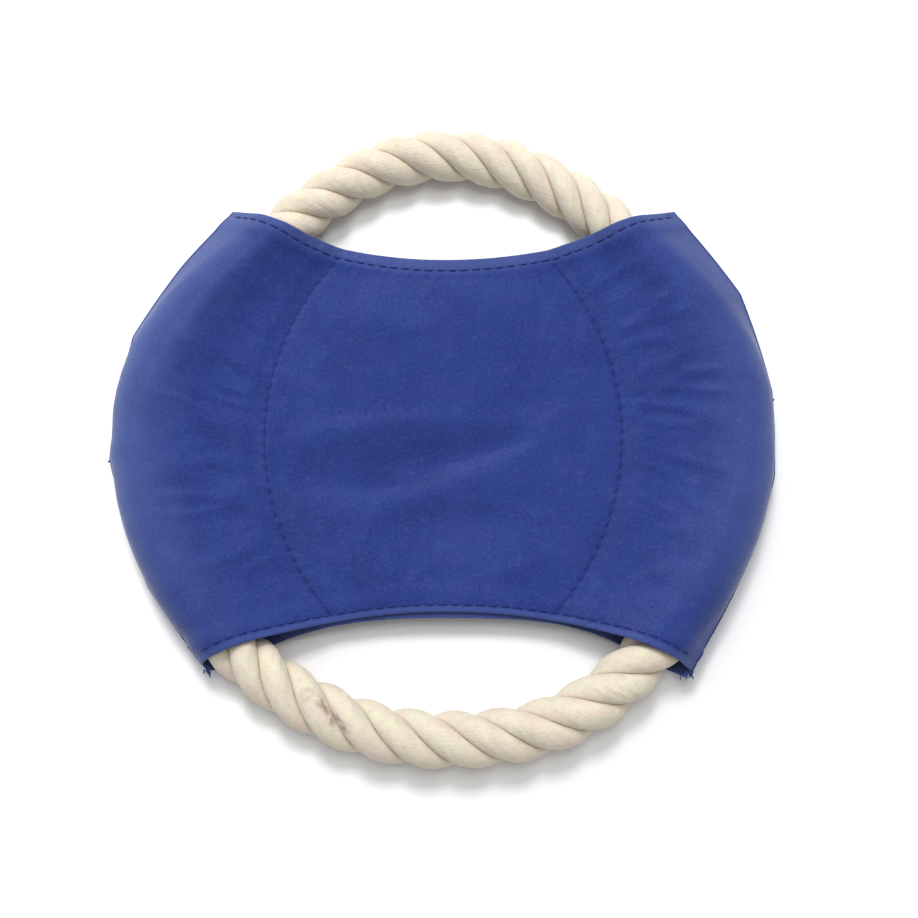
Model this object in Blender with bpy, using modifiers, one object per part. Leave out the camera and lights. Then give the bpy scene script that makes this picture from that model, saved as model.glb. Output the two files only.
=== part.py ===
"""A floppy flying ring, lying on its back face.

A loop of three-strand twisted cotton rope runs through the two sleeves of a double cloth cover. The cover is a
disc whose far and near edges are cut back in arcs, so the rope is bare there and makes two grips. Its two
panels are sewn together round the outside and along an arc inside each sleeve, and each panel's cut-back
edges are hemmed. The rope's ends meet inside the right sleeve, in a joining sleeve.

Metres, +Z up. The origin is on the surface that the ring lies on, under the ring's centre, and +Y is the far
grip. Angles are turned from +X, the right sleeve.
"""

import math

import bmesh
import bpy

# Rope: the ring is a little out of round. The cloth pulls it in at the diagonals, and the near grip bulges on
# its right.
ROPE_RADIUS = 0.0075
RING_RADIUS_X = 0.0853
RING_RADIUS_Y = 0.0860
RING_PULL_IN = {"far right": 0.0057, "far left": 0.0085, "near left": 0.0022, "near right": 0.0022}
BULGE = 0.0021
BULGE_ANGLE = math.radians(-65.5)
BULGE_REACH = math.radians(26)
LAY_TURNS = 15.19
LAY_PHASE = math.radians(6.4)
STRAND_RADIUS = 0.0030
STRAND_POINTS_PER_TURN = 9

# Rope joint, centred in the right sleeve. The strands are squeezed where the joining sleeve grips them.
END_GAP = math.radians(0.4)
SQUEEZE = 0.80
SQUEEZE_START = math.radians(15)
SQUEEZE_FULL = math.radians(11.5)
WHIPPING_SPAN = (math.radians(1.6), math.radians(6.4))
JOINING_SPAN = (math.radians(-11), math.radians(11))
TUBE_WALL = 0.0005

# How far the ring turns in its sleeves, each way, before its out-of-round shape binds.
TURN_RANGE = math.radians(6)

# Cover
CLOTH = 0.0005
CLEARANCE = 0.00075
GAP = 0.0003
CORNER_ANGLE = math.radians(46)
WAIST = 0.0518
EDGE_PULL_IN = {"far right": -0.0013, "far left": 0.0016, "near left": 0.0018, "near right": 0.0008}
SEAM_ARC_RADIUS = 0.0790
SEAM_WIDEST_X = 0.0507
HEM = 0.0030
SLEEVE_SEAM_STOP = 1.6 * HEM
EDGE_OPENING = 0.0007
FLATTENING_UNDERNEATH = 0.00045
THREAD_RADIUS = 0.0002

CLOTH_RADIUS = ROPE_RADIUS + CLEARANCE + CLOTH / 2
EDGE_RADIUS = RING_RADIUS_X + CLOTH_RADIUS
SEAM_CENTRE_X = SEAM_WIDEST_X - SEAM_ARC_RADIUS
PLY_OFFSET = CLOTH / 2 + GAP / 2
THREAD_OFFSET = CLOTH / 2 + GAP + THREAD_RADIUS
MIDDLE_Z = CLOTH_RADIUS + CLOTH / 2 - FLATTENING_UNDERNEATH

# Columns of a panel's grid across one sleeve: shares of the way from the rope's centreline to the outer edge
# on the outer side, and from the sleeve seam to the first column inside the rope's crest on the inner side.
OUTER_COLUMNS = (0, 0.14, 0.28, 0.58, 0.83, 0.96, 1)
CREST_COLUMNS = (-0.28, -0.14)
INNER_COLUMNS = (0, 1 / 3, 2 / 3)
CENTRE_SEGMENTS = 3
INNER_ROWS = 18

# Cloth steeper than this counts as upright. Halvings place a row's columns to far less than a micron.
UPRIGHT = math.radians(89)
HALVINGS = 50
SAME_PLACE = 1e-6


def pull_in(amounts, angle):
    """The share of a quarter's pull that is felt here: all of it on the diagonal, none on the axes."""
    quarter = f"{'far' if math.sin(angle) > 0 else 'near'} {'right' if math.cos(angle) > 0 else 'left'}"
    return amounts[quarter] * math.sin(2 * angle) ** 2


def ring_radius(angle):
    """Radius of the rope's centreline."""
    oval = RING_RADIUS_X * math.cos(angle) ** 2 + RING_RADIUS_Y * math.sin(angle) ** 2
    from_bulge = abs((angle - BULGE_ANGLE + math.pi) % (2 * math.pi) - math.pi)
    bulge = BULGE * math.cos(math.pi / 2 * min(1.0, from_bulge / BULGE_REACH)) ** 2
    return oval - pull_in(RING_PULL_IN, angle) + bulge


def ring_travel(angle):
    """How far the centreline moves in or out here while the ring turns, less what the clearance takes up."""
    moves = (ring_radius(angle + turn) - ring_radius(angle) for turn in (-TURN_RANGE, TURN_RANGE))
    return max(0.0, max(map(abs, moves)) - GAP)


def edge_radius(angle):
    """Radius of the cover's outer edge, at the middle of the cloth."""
    round_rope = ring_radius(angle) + ring_travel(angle) + CLOTH_RADIUS
    return max(EDGE_RADIUS - pull_in(EDGE_PULL_IN, angle), round_rope)


def seam_radius(angle):
    """Distance from the origin to the sleeve seam, an arc centred on the X axis."""
    along, across = SEAM_CENTRE_X * abs(math.cos(angle)), SEAM_CENTRE_X * math.sin(angle)
    return along + math.sqrt(SEAM_ARC_RADIUS**2 - across**2)


def tent(distance, reach, foot):
    """Height of cloth that runs straight from its foot, reach away, to a tangent on the round of the rope."""
    to_centre = math.hypot(reach, foot)
    slope = math.asin(min(1.0, CLOTH_RADIUS / to_centre)) - math.atan2(foot, reach)
    if slope < UPRIGHT and distance > CLOTH_RADIUS * math.sin(slope):
        return foot + (reach - distance) * math.tan(slope)
    return max(foot, math.sqrt(max(0.0, CLOTH_RADIUS**2 - distance**2)))


def cloth_height(x, y):
    """Height of the front panel above the cover's middle plane. The back panel mirrors it."""
    radius, angle = math.hypot(x, y), math.atan2(y, x)
    seam, centre, travel = seam_radius(angle), ring_radius(angle), ring_travel(angle)
    if radius <= seam:
        return PLY_OFFSET
    if radius < centre - travel:
        return tent(centre - travel - radius, centre - travel - seam, PLY_OFFSET)
    if radius > centre + travel:
        reach = edge_radius(angle) - centre - travel
        return tent(min(radius - centre - travel, reach), reach, EDGE_OPENING)
    return CLOTH_RADIUS


def solve(function, low, high):
    """Where a rising function crosses zero."""
    for _ in range(HALVINGS):
        middle = (low + high) / 2
        low, high = (middle, high) if function(middle) < 0 else (low, middle)
    return (low + high) / 2


class HalfRow:
    """Half of a line across the cover, from the middle to the edge on one side: -1 is left and 1 is right.

    Its share runs from -1 at the near hem through 0 at the middle to 1 at the far hem.
    """

    def __init__(self, share, side):
        from_side = share * CORNER_ANGLE
        end_angle = from_side if side > 0 else math.pi - from_side
        self.side = side
        self.waist = share * WAIST
        self.end = edge_radius(end_angle) * math.cos(from_side)
        self.rise = edge_radius(end_angle) * math.sin(from_side) - self.waist
        self.seam = solve(lambda out: self.beyond(out, seam_radius), 0, self.end)
        self.rope = solve(lambda out: self.beyond(out, ring_radius), 0, self.end)

    def point(self, out):
        """The place on the row that is this far out from the middle."""
        return self.side * out, self.waist + self.rise * (out / self.end) ** 2

    def beyond(self, out, radius_at):
        x, y = self.point(out)
        return math.hypot(x, y) - radius_at(math.atan2(y, x))

    def columns(self):
        """The places of the columns, from the middle to the edge."""
        round_rope = self.end - self.rope
        crest = [self.rope + share * round_rope for share in CREST_COLUMNS]
        centre = [self.seam * i / CENTRE_SEGMENTS for i in range(CENTRE_SEGMENTS)]
        inner = [self.seam + share * (crest[0] - self.seam) for share in INNER_COLUMNS]
        outer = [self.rope + share * round_rope for share in OUTER_COLUMNS]
        return [self.point(out) for out in centre + inner + crest + outer]


def row_points(share):
    """The places of a row's columns, from the left edge to the right."""
    left, right = HalfRow(share, -1).columns(), HalfRow(share, 1).columns()
    return left[:0:-1] + right


def hem_row(end):
    """The row that a hem's stitching runs along: end is 1 for the far hem and -1 for the near one."""
    return end * (1 - HEM / WAIST)


def front_z(x, y):
    return MIDDLE_Z + cloth_height(x, y)


def back_z(x, y):
    """The back panel lies flat where the rope presses it to the ground."""
    return max(MIDDLE_Z - cloth_height(x, y), CLOTH / 2)


def material(name, colour, roughness):
    made = bpy.data.materials.new(name)
    made.use_nodes = True
    shader = made.node_tree.nodes["Principled BSDF"]
    shader.inputs["Base Color"].default_value = (*colour, 1)
    shader.inputs["Roughness"].default_value = roughness
    shader.inputs["Metallic"].default_value = 0
    return made


def add(name, data, body, look):
    """Puts a mesh or a curve in the ring's collection, moved by a body's empty."""
    made = bpy.data.objects.new(name, data)
    data.materials.append(material(name, *look))
    body.users_collection[0].objects.link(made)
    made.parent = body
    return made


def add_solidify(made, thickness, offset):
    wall = made.modifiers.new("wall", "SOLIDIFY")
    wall.thickness = thickness
    wall.offset = offset
    wall.use_even_offset = True


def mesh_from(bm, name):
    mesh = bpy.data.meshes.new(name)
    bm.to_mesh(mesh)
    bm.free()
    mesh.shade_smooth()
    return mesh


def make_panel(name, height_at, body, look):
    """One panel of the cover: a grid laid over the rope, with a wall of cloth."""
    shares = [-1, *(hem_row(1) * (2 * i / INNER_ROWS - 1) for i in range(INNER_ROWS + 1)), 1]
    rows = [row_points(share) for share in shares]
    last_row, last_column = len(rows) - 1, len(rows[0]) - 1
    bm = bmesh.new()
    bmesh.ops.create_grid(bm, x_segments=last_column, y_segments=last_row, size=1)
    for vertex in bm.verts:
        row = round((vertex.co.y + 1) / 2 * last_row)
        x, y = rows[row][round((vertex.co.x + 1) / 2 * last_column)]
        vertex.co = (x, y, height_at(x, y))
    add_solidify(add(name, mesh_from(bm, name), body, look), CLOTH, 0)


def make_tube(name, points, radius, body, look, sides_setting):
    """A round tube along points, each (x, y, z) with a share of the full radius."""
    curve = bpy.data.curves.new(name, "CURVE")
    curve.dimensions = "3D"
    curve.bevel_depth = radius
    curve.bevel_resolution = sides_setting
    curve.use_fill_caps = True
    spline = curve.splines.new("POLY")
    spline.points.add(len(points) - 1)
    for made, (x, y, z, share) in zip(spline.points, points):
        made.co = (x, y, z, 1)
        made.radius = share
    return add(name, curve, body, look)


def make_thread(name, points, body):
    make_tube(name, [(*point, 1) for point in points], THREAD_RADIUS, body, THREAD_LOOK, 1)


def make_sleeve_seam(side_name, side, body):
    """The seam that closes a sleeve on its inner side: a needle thread on the front and a bobbin thread behind."""
    first = 1 - SLEEVE_SEAM_STOP / WAIST
    rows = [HalfRow(first * (2 * i / INNER_ROWS - 1), side) for i in range(INNER_ROWS + 1)]
    lift = PLY_OFFSET + THREAD_OFFSET
    for face, way in (("front", 1), ("back", -1)):
        points = [(*row.point(row.seam), MIDDLE_Z + way * lift) for row in rows]
        make_thread(f"{side_name}_sleeve_seam_thread_{face}", points, body)


def outward(x, y, height_at):
    """Unit normal of a panel's surface, pointing up, by small steps along X and Y."""
    step = 1e-5
    slope_x = (height_at(x + step, y) - height_at(x - step, y)) / (2 * step)
    slope_y = (height_at(x, y + step) - height_at(x, y - step)) / (2 * step)
    length = math.sqrt(slope_x**2 + slope_y**2 + 1)
    return -slope_x / length, -slope_y / length, 1 / length


def make_hem_threads(end_name, end, body):
    """Stitching along a hem of the front panel, over both sleeves, and of the back panel, between the ropes.

    The front thread ends two columns short of each outer edge. The back thread ends where the hem goes down
    under the rope, so that cloth and not thread meets the ground.
    """
    across = row_points(hem_row(end))[2:-2]
    between = [(x, y) for x, y in across if cloth_height(x, y) < CLOTH_RADIUS / 2]
    between = [(x, y) for x, y in between if math.hypot(x, y) < ring_radius(math.atan2(y, x))]
    for face, height_at, way, stretch in (("front", front_z, 1, across), ("back", back_z, -1, between)):
        points = []
        for x, y in stretch:
            normal = outward(x, y, height_at)
            base = (x, y, height_at(x, y))
            points.append([p + way * THREAD_OFFSET * n for p, n in zip(base, normal)])
        make_thread(f"{end_name}_hem_thread_{face}", points, body)


def make_outer_seam(side_name, side, body):
    """The thread that joins the two panels round the outside of a sleeve."""
    first = 1 - HEM / WAIST
    rows = [HalfRow(first * (2 * i / INNER_ROWS - 1), side) for i in range(INNER_ROWS + 1)]
    points = [(*row.point(row.end), MIDDLE_Z) for row in rows]
    make_thread(f"{side_name}_outer_seam_thread", points, body)


def squeeze(angle):
    """Share of its free size that the rope has here: less inside the joining sleeve."""
    from_joint = min(angle, 2 * math.pi - angle)
    share = (from_joint - SQUEEZE_FULL) / (SQUEEZE_START - SQUEEZE_FULL)
    share = min(1.0, max(0.0, share))
    return SQUEEZE + (1 - SQUEEZE) * share * share * (3 - 2 * share)


def make_strand(name, start_phase, body):
    """One strand, laid right-handed round the rope's centreline from one cut end to the other."""
    steps = round(LAY_TURNS * STRAND_POINTS_PER_TURN)
    points = []
    for i in range(steps + 1):
        angle = END_GAP + (2 * math.pi - 2 * END_GAP) * i / steps
        phase = start_phase + LAY_PHASE + LAY_TURNS * angle
        share = squeeze(angle)
        offset = (ROPE_RADIUS - STRAND_RADIUS) * share
        radius = ring_radius(angle) + offset * math.cos(phase)
        height = MIDDLE_Z - offset * math.sin(phase)
        points.append((radius * math.cos(angle), radius * math.sin(angle), height, share))
    make_tube(name, points, STRAND_RADIUS, body, ROPE_LOOK, 2)


def make_bent_tube(name, span, inner_radius, body, look):
    """A short open tube that follows the rope's centreline between two angles."""
    around, along = 14, 6
    bm = bmesh.new()
    bmesh.ops.create_grid(bm, x_segments=around, y_segments=along, size=1)
    for vertex in bm.verts:
        turn = -math.pi * vertex.co.x
        angle = span[0] + (span[1] - span[0]) * (vertex.co.y + 1) / 2
        radius = ring_radius(angle) + inner_radius * math.cos(turn)
        height = MIDDLE_Z - inner_radius * math.sin(turn)
        vertex.co = (radius * math.cos(angle), radius * math.sin(angle), height)
    bmesh.ops.remove_doubles(bm, verts=bm.verts, dist=SAME_PLACE)
    bmesh.ops.recalc_face_normals(bm, faces=bm.faces)
    add_solidify(add(name, mesh_from(bm, name), body, look), TUBE_WALL, 1)


def make_rope_joint(body):
    """The whippings that bind the rope's cut ends, and the joining sleeve over both."""
    squeezed = ROPE_RADIUS * SQUEEZE
    whipping_inside = squeezed + GAP
    joining_inside = whipping_inside + TUBE_WALL + GAP
    near, far = WHIPPING_SPAN
    make_bent_tube("end_whipping_a", (near, far), whipping_inside, body, WHIPPING_LOOK)
    make_bent_tube("end_whipping_b", (-far, -near), whipping_inside, body, WHIPPING_LOOK)
    make_bent_tube("joining_sleeve", JOINING_SPAN, joining_inside, body, JOINING_LOOK)


def clear_scene():
    for made in list(bpy.data.objects):
        bpy.data.objects.remove(made)


def make_body(name, collection):
    """The empty that a rigid body's pieces hang from, on the axis that the ring turns about."""
    body = bpy.data.objects.new(name, None)
    collection.objects.link(body)
    return body


CLOTH_LOOK = ((0.035, 0.065, 0.270), 0.75)
THREAD_LOOK = ((0.020, 0.035, 0.200), 0.60)
ROPE_LOOK = ((0.690, 0.620, 0.510), 0.95)
WHIPPING_LOOK = ((0.600, 0.580, 0.520), 0.80)
JOINING_LOOK = ((0.100, 0.100, 0.100), 0.50)


def main():
    clear_scene()
    collection = bpy.data.collections.new("flying_ring")
    bpy.context.scene.collection.children.link(collection)
    cover, rope_ring = make_body("cover", collection), make_body("rope_ring", collection)

    make_panel("front_panel", front_z, cover, CLOTH_LOOK)
    make_panel("back_panel", back_z, cover, CLOTH_LOOK)
    for side_name, side in (("left", -1), ("right", 1)):
        make_sleeve_seam(side_name, side, cover)
        make_outer_seam(side_name, side, cover)
    for end_name, end in (("far", 1), ("near", -1)):
        make_hem_threads(end_name, end, cover)

    for i, letter in enumerate("abc"):
        make_strand(f"rope_strand_{letter}", 2 * math.pi * i / 3, rope_ring)
    make_rope_joint(rope_ring)


main()
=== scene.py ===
"""The looks of the floppy flying ring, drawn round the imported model.

A two-ply cloth cover holds a ring of three-strand cotton rope. Lengths are millimetres until they become a
mesh, except in the studio. +Z is up, +Y is the far grip, and the origin is under the ring's centre, on the
surface that it lies on. Angles are turned from +X, the right sleeve.
"""

import math

import bpy
import numpy as np
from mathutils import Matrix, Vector


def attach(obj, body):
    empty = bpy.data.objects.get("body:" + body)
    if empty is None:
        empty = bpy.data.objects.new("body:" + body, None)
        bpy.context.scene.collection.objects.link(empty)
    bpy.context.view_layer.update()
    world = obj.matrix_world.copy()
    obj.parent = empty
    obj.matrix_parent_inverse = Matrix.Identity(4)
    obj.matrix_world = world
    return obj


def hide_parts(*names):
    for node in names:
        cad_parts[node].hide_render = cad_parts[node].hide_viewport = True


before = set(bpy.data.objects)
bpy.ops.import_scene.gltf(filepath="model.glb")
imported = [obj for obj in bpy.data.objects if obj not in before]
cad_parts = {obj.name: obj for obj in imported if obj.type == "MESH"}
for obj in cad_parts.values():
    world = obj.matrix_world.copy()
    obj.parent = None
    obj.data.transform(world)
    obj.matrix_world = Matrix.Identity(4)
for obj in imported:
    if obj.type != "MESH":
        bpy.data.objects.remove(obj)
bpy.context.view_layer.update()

MM = 0.001
SIDES = {"left": -1, "right": 1}

# Rope, as in the model
ROPE_RADIUS = 7.5
RING_RADIUS_X = 85.3
RING_RADIUS_Y = 86.0
RING_PULL_IN = {"far right": 5.7, "far left": 8.5, "near left": 2.2, "near right": 2.2}
BULGE = 2.1
BULGE_ANGLE = math.radians(-65.5)
BULGE_REACH = math.radians(26)
LAY_TURNS = 15.19
LAY_PHASE = math.radians(6.4)
END_GAP = math.radians(0.4)
SQUEEZE = 0.80
SQUEEZE_START = math.radians(15)
SQUEEZE_FULL = math.radians(11.5)
TURN_RANGE = math.radians(6)

# Strands: an ellipse, cut to its third of the rope
STRAND_CENTRE = 3.4
STRAND_DEPTH = 4.2
STRAND_WIDTH = 4.62
STRAND_GAP = 0.1
STRAND_SECTIONS = 860
STRAND_FACE_POINTS = 36
SECTION_STEPS = 400
# Points down each flank of a strand, as shares of the way to its outer corner
FLANK_PLACES = np.array([0.75, 0.45, 0.15])
YARN_SLANT = 1.25
# Lumps of the bare rope: how big they are in all, and the share and size of swells, yarns and small lumps
STRAND_LUMPS = 0.19
SWELLS = (0.60, 11)
YARN_LUMPS = (0.55, 1.9)
SMALL_LUMPS = (0.35, 2.6)
YARN_STRETCH = (0.5, 0.4)
# Lumps and long fuzz set in as the rope leaves its sleeves, between these sines of the angle
LUMPS_SET_IN = (0.70, 0.80)
FUZZ_SETS_IN = (0.76, 0.85)

# Loose fibre ends, and the stretches of angle and the turns on a strand where they are
FUZZ_HAIRS = 3600
FUZZ_LENGTH = (0.7, 2.4)
FUZZ_RADIUS = 0.024
FUZZ_FAR = (0.95, 2.20)
FUZZ_NEAR = (4.00, 5.44)
FUZZ_TURNS = (-0.95, 0.95)
FUZZ_ROOT = -0.15
FUZZ_LOSS = 0.6
FUZZ_LEAN = (0.5, 1.6)
FUZZ_CURL = 0.6
FUZZ_DROOP = 0.55
FUZZ_THINNING = 0.7
LOWEST_HAIR = 0.15

# Cover
CLOTH = 0.3
CLOTH_RADIUS = 8.5
MIDDLE_Z = 8.3
REST_Z = 0.20
PLY_OFFSET = 0.4
SEAM_ARC_RADIUS = 79.0
SEAM_CENTRE_X = -28.3
SLEEVE_SLACK = 1.5
CENTRE_SAG = 0.8
SAG_FADES = (10, 50)
WAIST = {"front": {"far": 51.6, "near": 51.95}, "back": {"far": 51.4, "near": 53.4}}
# How bent the near hems are, from their middle to each corner: 2 is a parabola
NEAR_HEM_BEND = {"front": {"left": 2.0, "right": 2.3}, "back": {"left": 2.4, "right": 3.0}}
CORNER = {
    "front": {"left": {"far": 46.9, "near": 45.6}, "right": {"far": 44.4, "near": 45.3}},
    "back": {"left": {"far": 46.5, "near": 46.9}, "right": {"far": 44.2, "near": 46.7}},
}
# The outer edge's corners, as degrees from the side axis and radius. It runs almost straight between them.
OUTLINE = {
    "left": ((-45.6, 92.6), (-29.2, 92.7), (-5.3, 94.6), (17.2, 94.3), (33.2, 91.9), (46.9, 92.0)),
    "right": ((-45.3, 95.4), (-22.1, 92.8), (-8.5, 94.3), (6.8, 94.9), (25.4, 96.2), (44.4, 96.0)),
}
STRAIGHTNESS = 0.6
ROOM_BEYOND_ROPE = 0.6
STEEPEST = 1.55
# The flat lip outside the rope: its narrowest and widest, what the round of the rope leaves, and its height
LIP = (0.1, 0.35)
LIP_START = 0.3
LIP_HEIGHT = 0.17
UNDER_REACH = 0.98

# Hems: how far their stitching is from the edge, and how far they are turned in
HEM_STITCH = {"far": 3.4, "near": 1.9}
HEM_TURNED_IN = 5.2
FOLD_RADIUS = 0.18
FOLD_TURN = math.radians(36)
FOLD_STEPS = 4
# The far hem narrows outwards: what is left of its depth at the outer edge, and how far in that is felt
FAR_CORNER_HEM = 0.32
FAR_CORNER_REACH = 0.5
# A hem's thickness lifts the cloth, falls off between two distances from the edge, and stiffens it
HEM_LIFT = 0.55
HEM_STEP = (HEM_TURNED_IN - 0.6, HEM_TURNED_IN + 3.5)
HEM_STIFFNESS = 0.75
SEAM_STIFFNESS = 2.2

# Stitching
PITCH = 3.45
STITCH_SHARE = 0.76
STITCH_STEPS = 9
STITCH_SHIFT = 0.08
STITCH_SPREAD = 0.05
STITCH_SINK = 0.42
STITCH_BEDDED = 0.45
STITCH_ROUNDING = 0.93
STITCH_TIP = 0.1
HEM_THREAD_RADIUS = 0.25
SEAM_THREAD_RADIUS = 0.17
HEM_THREAD_SHORT = 5
OUTER_THREAD_IN = 0.3
OUTER_THREAD_LIFT = -0.2
# Painted shade in the needle holes: how dark it is on the hems, and how far it reaches
HEM_HOLE_SHADE = 0.35
HOLE_SHADE_RADIUS = 0.55
# The groove along a line of stitching: depth and width, and the share of its depth between holes
HEM_GROOVE = (0.20, 0.75)
SEAM_GROOVE = (0.30, 0.9)
BETWEEN_HOLES = 0.35
# Puckers beside the stitching: height, reach and length of each
HEM_PUCKER = (0.10, 6.0, 5.5)
SEAM_PUCKER = (0.16, 3.2, 3.1)
PUCKER_START = 0.8
PUCKER_SKIP = 0.6

# Painted sheen, the light that the slopes over the rope catch: the cloth is painted paler in two bands by the
# outer edge, less on the right and towards each hem
BROAD_SHEEN = (6.5, 25)
NARROW_SHEEN = (3, 8)
BROAD_SHARE = 0.55
EDGE_WITHOUT_SHEEN = (0.2, 1.2)
RIGHT_SHEEN = 0.75
SHEEN_STARTS = (-80, -10)
SHEEN_DROPS = (25, 45)
SHEEN_DROP = 0.25
# On each hem, a painted highlight along it: the amount, and the distances from the edge between which it ends
HEM_PAINTED_HIGHLIGHT = {
    "front": {"far": (0.60, 2.0, 5.5), "near": (0.42, 1.0, 2.0)},
    "back": {"far": (0.60, 1.5, 4.0), "near": (0.60, 1.5, 4.0)},
}

# Grid of a panel: how many columns each stretch of a row has, and the rows of the hems and between them
CENTRE_COLUMNS = 56
SEAM_COLUMNS = 5
SEAM_COLUMN = CENTRE_COLUMNS + SEAM_COLUMNS
SEAM_BAND = 2.2
INNER_COLUMNS = 38
OUTER_COLUMNS = 18
HEM_ROWS = 5
ROWS_PAST_HEM = 7
PLAIN_ROWS_START = 8
PLAIN_ROWS = 138
HALVINGS = 40

# Smooth noise is read from a lattice of random values
LATTICE = 64
LATTICE_START = (31.3, 33.7)
# The cloth's unevenness: height, size and seed of each kind of bump
SWELL = (0.30, 17, 3)
ROLLING = (0.16, 8, 4)
CRUMPLES = ((0.07, 3.6, 5), (0.03, 1.7, 6))
ROPE_FOLDS = (0.10, 5, 8)
# Size and seed of the patches in the painted sheen by the outer edge
SHEEN_PATCHES = (9, 13)
# Folds from the seam to the rope: size and seed, height, how they slant, and how much they are drawn out
SLEEVE_FOLDS = (6.5, 7)
FOLD_HEIGHT = 0.42
FOLD_SLANT = 0.3
FOLD_STRETCH = 0.45
ROPE_FOLD_STRETCH = 0.4
# Creases start where the cloth stands up from its outer edge
CREASES_START = (0, 3)
# Distances between which things change: from the seam outwards, and from the rope's centreline
SLEEVE_STARTS = (1, 9)
SLACK_ENDS = (-8, -1)
ROPE_STARTS = (-9, -3)
SLEEVE_RISES = (-1, 6)
ROLLING_LOSS = 0.5
BACK_CREASES = 0.6

# The ends of a crease, as shares of its line, and how slowly it fades towards them
CREASE_ENDS = (0.04, 0.96)
CREASE_FADE = 0.6
CREASE_STEPS = 8
# Creases in the front panel, from left to right: places, height, and how wide their far and near sides are
CREASES = (
    # the long hollow across the middle, with its far lip and near lip
    (((-43, -10), (-37, -2), (-20, 1.5), (0, 2.2), (14, 1.8), (28, 0)), 0.9, 3.2, 6.0),
    (((-50, -11), (-36, -15), (-22, -15.5), (-6, -13.5), (9, -9)), -2.8, 9.5, 4.8),
    (((-10, -10), (6, -7.5), (18, -4.5), (31, 0)), -1.6, 6.5, 3.5),
    (((-42, -15), (-28, -18), (-17, -20), (-4, -18)), 0.30, 3.0, 5.0),
    (((-4, -14), (8, -11.5), (20, -7), (28, -1), (37, 11), (46, 14)), 0.45, 2.5, 4.0),
    # the second hollow, nearer
    (((-10, -15.5), (5, -14.5), (20, -14)), 0.30, 3.0, 3.5),
    (((-20, -23), (-11, -26), (0, -27), (14, -26), (24, -23)), -2.6, 8.5, 9.0),
    # far part of the centre, which swells before the hem
    (((-28, 33), (-14, 34), (0, 35), (14, 34), (30, 33)), 2.4, 13.0, 16.0),
    (((-20, 34), (-13, 29.4), (-6, 30), (0, 32), (4, 41)), 0.30, 2.8, 2.2),
    (((-14, 36), (-3, 37)), -0.30, 4.0, 4.0),
    (((9, 46), (14, 37), (26, 28), (43, 26)), 0.32, 2.6, 3.2),
    (((8, 20), (16, 16), (24, 11)), 0.30, 1.8, 3.0),
    (((28, 2), (40, 6.5), (48, 3.5)), 0.25, 1.8, 2.8),
    # near part of the centre
    (((-42, -18), (-35, -25), (-25, -26), (-14, -23)), 0.25, 2.0, 2.5),
    (((-37, -34), (-28, -40), (-18, -46)), 0.30, 1.6, 2.0),
    (((-44, -37), (-39, -44), (-32, -47)), 0.25, 1.5, 1.8),
    (((3, -45), (18, -41), (33, -34)), 0.30, 1.8, 2.2),
    # right sleeve
    (((55, 60), (63, 52), (69, 46)), 0.31, 1.5, 2.4),
    (((50, 45), (60, 42), (66, 38)), -0.31, 3.3, 2.4),
    (((51, 29), (60, 35), (69, 42)), 0.46, 1.3, 2.4),
    (((51, 12.5), (62, 18.6), (74, 23)), 0.37, 1.8, 2.2),
    (((53, 5), (62, 11), (72, 16)), 0.34, 1.5, 2.2),
    (((61, 5), (66, 8), (71, 5)), 0.22, 1.3, 1.8),
    (((52, -6), (60, -10), (71, -8)), 0.22, 2.0, 2.6),
    (((50, -22), (60, -25), (69, -21)), 0.22, 2.0, 2.6),
    (((72, 7), (73, -8), (70, -22), (68, -34), (67, -42)), 0.28, 2.2, 2.4),
    (((51, -46), (56, -42), (68, -41)), 0.34, 1.3, 2.2),
    # left sleeve
    (((-76, 15), (-71, 28), (-67, 39), (-59, 47), (-51, 55)), 0.28, 2.4, 2.2),
    (((-77, -11), (-72, -21), (-71, -28), (-66, -42), (-61, -53)), 0.28, 2.4, 2.2),
    (((-69, 33), (-57, 26.5), (-47, 23.5)), 0.25, 2.0, 2.9),
    (((-74, 16), (-64, 18.6), (-52, 11)), -0.31, 2.6, 2.6),
    (((-75, 12.5), (-65, 8), (-56, 2)), 0.31, 1.5, 2.4),
    (((-74, -5), (-66, -3), (-56, -8)), -0.34, 2.4, 2.2),
    (((-73, -10), (-63, -10.5), (-51, -13.5)), 0.34, 1.5, 2.4),
    (((-68, -21), (-58, -19), (-50, -15)), 0.25, 1.8, 2.6),
    (((-65, -40), (-56, -37), (-47, -28)), 0.22, 2.0, 2.6),
)

# Thread ends that stick out of the cover: place, the way they point, how many, how long, and how far apart
FRAYS = {
    "near_left": ((-63.6, -67.6, 7.4), (0.1, -1.0, -0.4), 9, 1.6, 0.7),
    "near_right": ((66.6, -67.9, 7.2), (0.1, -1.0, -0.3), 14, 1.7, 1.2),
    "far_right": ((68.2, 66.4, 8.6), (0.5, 1.0, 0.3), 3, 2.0, 0.15),
    "right": ((94.1, 8.6, 8.4), (1.0, 0.3, 0.2), 3, 0.7, 0.2),
    "left": ((-93.9, -9.4, 8.4), (-1.0, -0.2, 0.1), 3, 0.6, 0.2),
}
FRAY_RADIUS = (0.14, 0.32)
FRAY_FLATTENED = (1, 0.5, 0.25)
FRAY_SPREAD = 0.35
FRAY_BEND = 0.25
FRAY_THINNING = 0.45
LOWEST_FRAY = 0.4

# Colours of the cloth and of its threads, dark and light
CLOTH_BLUE = (0.0158, 0.0346, 0.1820)
CLOTH_DEEP = (0.0122, 0.0280, 0.1560)
CLOTH_VIOLET = (0.0230, 0.0335, 0.1780)
CLOTH_PALE = (0.0315, 0.0565, 0.2180)
# Painted sheen and painted highlights: the pale colour that the cloth is painted towards by its outer edge,
# on its hems and where it is seen at a slant
CLOTH_PAINTED_SHEEN = (0.1380, 0.1850, 0.4000)
# Painted shade in the needle holes
CLOTH_HOLE_SHADE = (0.0035, 0.0075, 0.0700)
# Painted shade between the yarns
SHADE_BETWEEN_YARNS = (0.005, 0.014, 0.10)
SEAM_THREAD = ((0.012, 0.024, 0.140), (0.022, 0.040, 0.200))
HEM_THREAD = ((0.007, 0.014, 0.100), (0.013, 0.026, 0.160))

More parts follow.
